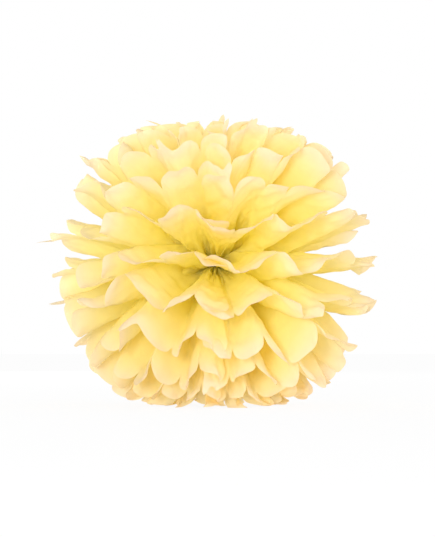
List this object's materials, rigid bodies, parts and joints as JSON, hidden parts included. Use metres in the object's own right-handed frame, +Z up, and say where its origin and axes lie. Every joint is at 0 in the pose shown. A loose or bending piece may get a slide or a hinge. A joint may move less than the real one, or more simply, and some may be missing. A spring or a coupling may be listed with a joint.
{
  "type": "tissue paper pom pom",
  "caption": "Ball of thin pleated paper: stacked sheets folded together, tied at the middle with wire, cut round at the ends and fanned out into petals.",
  "frame": {"origin": "middle of the footprint, on the surface that the lowest petals rest on", "axes": "+Z up through the ball's two poles; the folds run along X at the tie; the fans' loose edges meet at -Y, the side seen in the picture, and at +Y"},
  "size_m": [0.2564, 0.2638, 0.2207],
  "materials": {
    "tissue_paper": "matte, thin enough to let light through",
    "binding_wire": "plain soft wire"
  },
  "bodies": {
    "root": {"tissue_sheet_01": "tissue_paper", "tissue_sheet_02": "tissue_paper", "tissue_sheet_03": "tissue_paper", "tissue_sheet_04": "tissue_paper", "tissue_sheet_05": "tissue_paper", "tissue_sheet_06": "tissue_paper", "tissue_sheet_07": "tissue_paper", "tissue_sheet_08": "tissue_paper", "tissue_sheet_09": "tissue_paper", "tissue_sheet_10": "tissue_paper", "tissue_sheet_11": "tissue_paper", "waist_wire": "binding_wire"}
  },
  "joints": []
}
